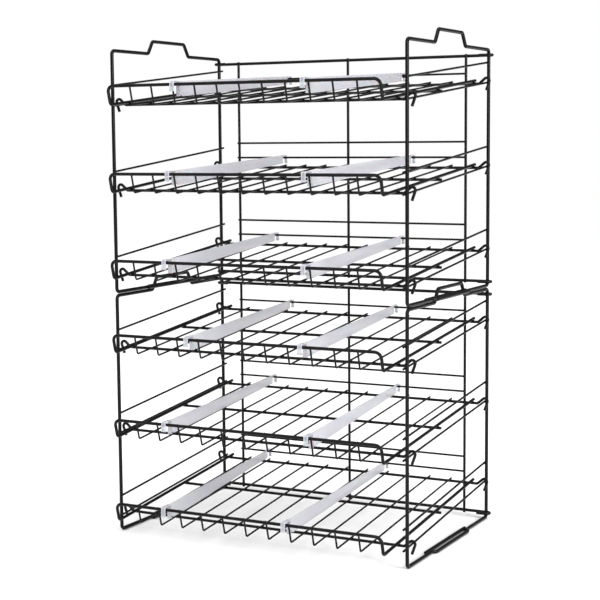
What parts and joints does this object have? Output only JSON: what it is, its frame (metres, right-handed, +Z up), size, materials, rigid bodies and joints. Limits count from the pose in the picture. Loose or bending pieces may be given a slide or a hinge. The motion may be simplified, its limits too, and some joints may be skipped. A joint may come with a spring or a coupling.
{
  "type": "two-tier stackable wire can rack",
  "caption": "Stacked wire can racks with sloped, lipped shelves hooked into side frames, a clip-on back panel and sliding plastic lane dividers.",
  "frame": {"origin": "on the floor, at the centre of the rack's whole footprint", "axes": "+X to the rack's right seen from the front, +Y to the back panel, +Z up"},
  "size_m": [0.4658, 0.3459, 0.7083],
  "materials": {
    "coated_wire": "semi-gloss black powder coat with a warm tint over round steel wire",
    "divider_plastic": "milky translucent moulded plastic"
  },
  "bodies": {
    "lower_rack": {"lower_back_bottom_rail": "coated_wire", "lower_back_top_rail": "coated_wire", "lower_back_uprights": "coated_wire", "lower_back_wires": "coated_wire", "lower_left_guard_wires": "coated_wire", "lower_left_lock_bar": "coated_wire", "lower_left_side_loop": "coated_wire", "lower_left_support_wires": "coated_wire", "lower_right_guard_wires": "coated_wire", "lower_right_lock_bar": "coated_wire", "lower_right_side_loop": "coated_wire", "lower_right_support_wires": "coated_wire"},
    "upper_rack": {"upper_back_bottom_rail": "coated_wire", "upper_back_top_rail": "coated_wire", "upper_back_uprights": "coated_wire", "upper_back_wires": "coated_wire", "upper_left_guard_wires": "coated_wire", "upper_left_lock_bar": "coated_wire", "upper_left_side_loop": "coated_wire", "upper_left_support_wires": "coated_wire", "upper_right_guard_wires": "coated_wire", "upper_right_lock_bar": "coated_wire", "upper_right_side_loop": "coated_wire", "upper_right_support_wires": "coated_wire"},
    "lower_bottom_shelf": {"lower_bottom_shelf_cross_wires": "coated_wire", "lower_bottom_shelf_floor_wires": "coated_wire", "lower_bottom_shelf_rim": "coated_wire"},
    "lower_bottom_left_divider": {"lower_bottom_left_divider": "divider_plastic"},
    "lower_bottom_right_divider": {"lower_bottom_right_divider": "divider_plastic"},
    "lower_middle_shelf": {"lower_middle_shelf_cross_wires": "coated_wire", "lower_middle_shelf_floor_wires": "coated_wire", "lower_middle_shelf_rim": "coated_wire"},
    "lower_middle_left_divider": {"lower_middle_left_divider": "divider_plastic"},
    "lower_middle_right_divider": {"lower_middle_right_divider": "divider_plastic"},
    "lower_top_shelf": {"lower_top_shelf_cross_wires": "coated_wire", "lower_top_shelf_floor_wires": "coated_wire", "lower_top_shelf_rim": "coated_wire"},
    "lower_top_left_divider": {"lower_top_left_divider": "divider_plastic"},
    "lower_top_right_divider": {"lower_top_right_divider": "divider_plastic"},
    "upper_bottom_shelf": {"upper_bottom_shelf_cross_wires": "coated_wire", "upper_bottom_shelf_floor_wires": "coated_wire", "upper_bottom_shelf_rim": "coated_wire"},
    "upper_bottom_left_divider": {"upper_bottom_left_divider": "divider_plastic"},
    "upper_bottom_right_divider": {"upper_bottom_right_divider": "divider_plastic"},
    "upper_middle_shelf": {"upper_middle_shelf_cross_wires": "coated_wire", "upper_middle_shelf_floor_wires": "coated_wire", "upper_middle_shelf_rim": "coated_wire"},
    "upper_middle_left_divider": {"upper_middle_left_divider": "divider_plastic"},
    "upper_middle_right_divider": {"upper_middle_right_divider": "divider_plastic"},
    "upper_top_shelf": {"upper_top_shelf_cross_wires": "coated_wire", "upper_top_shelf_floor_wires": "coated_wire", "upper_top_shelf_rim": "coated_wire"},
    "upper_top_left_divider": {"upper_top_left_divider": "divider_plastic"},
    "upper_top_right_divider": {"upper_top_right_divider": "divider_plastic"}
  },
  "joints": [
    {"name": "upper_rack_lift", "type": "slide", "parent": "lower_rack", "child": "upper_rack", "axis": [0, 0, 1], "range_m": [0, 0.06]},
    {"name": "lower_bottom_shelf_lift", "type": "slide", "parent": "lower_rack", "child": "lower_bottom_shelf", "axis": [0, 0, 1], "range_m": [0, 0.015]},
    {"name": "lower_bottom_left_divider_slide", "type": "slide", "parent": "lower_bottom_shelf", "child": "lower_bottom_left_divider", "axis": [1, 0, 0], "range_m": [-0.043, 0.117]},
    {"name": "lower_bottom_right_divider_slide", "type": "slide", "parent": "lower_bottom_shelf", "child": "lower_bottom_right_divider", "axis": [1, 0, 0], "range_m": [-0.056, 0.119]},
    {"name": "lower_middle_shelf_lift", "type": "slide", "parent": "lower_rack", "child": "lower_middle_shelf", "axis": [0, 0, 1], "range_m": [0, 0.015]},
    {"name": "lower_middle_left_divider_slide", "type": "slide", "parent": "lower_middle_shelf", "child": "lower_middle_left_divider", "axis": [1, 0, 0], "range_m": [-0.054, 0.114]},
    {"name": "lower_middle_right_divider_slide", "type": "slide", "parent": "lower_middle_shelf", "child": "lower_middle_right_divider", "axis": [1, 0, 0], "range_m": [-0.077, 0.091]},
    {"name": "lower_top_shelf_lift", "type": "slide", "parent": "lower_rack", "child": "lower_top_shelf", "axis": [0, 0, 1], "range_m": [0, 0.015]},
    {"name": "lower_top_left_divider_slide", "type": "slide", "parent": "lower_top_shelf", "child": "lower_top_left_divider", "axis": [1, 0, 0], "range_m": [-0.086, 0.076]},
    {"name": "lower_top_right_divider_slide", "type": "slide", "parent": "lower_top_shelf", "child": "lower_top_right_divider", "axis": [1, 0, 0], "range_m": [-0.073, 0.099]},
    {"name": "upper_bottom_shelf_lift", "type": "slide", "parent": "upper_rack", "child": "upper_bottom_shelf", "axis": [0, 0, 1], "range_m": [0, 0.015]},
    {"name": "upper_bottom_left_divider_slide", "type": "slide", "parent": "upper_bottom_shelf", "child": "upper_bottom_left_divider", "axis": [1, 0, 0], "range_m": [-0.06, 0.109]},
    {"name": "upper_bottom_right_divider_slide", "type": "slide", "parent": "upper_bottom_shelf", "child": "upper_bottom_right_divider", "axis": [1, 0, 0], "range_m": [-0.084, 0.092]},
    {"name": "upper_middle_shelf_lift", "type": "slide", "parent": "upper_rack", "child": "upper_middle_shelf", "axis": [0, 0, 1], "range_m": [0, 0.015]},
    {"name": "upper_middle_left_divider_slide", "type": "slide", "parent": "upper_middle_shelf", "child": "upper_middle_left_divider", "axis": [1, 0, 0], "range_m": [-0.076, 0.1]},
    {"name": "upper_middle_right_divider_slide", "type": "slide", "parent": "upper_middle_shelf", "child": "upper_middle_right_divider", "axis": [1, 0, 0], "range_m": [-0.091, 0.075]},
    {"name": "upper_top_shelf_lift", "type": "slide", "parent": "upper_rack", "child": "upper_top_shelf", "axis": [0, 0, 1], "range_m": [0, 0.015]},
    {"name": "upper_top_left_divider_slide", "type": "slide", "parent": "upper_top_shelf", "child": "upper_top_left_divider", "axis": [1, 0, 0], "range_m": [-0.085, 0.091]},
    {"name": "upper_top_right_divider_slide", "type": "slide", "parent": "upper_top_shelf", "child": "upper_top_right_divider", "axis": [1, 0, 0], "range_m": [-0.086, 0.09]}
  ]
}
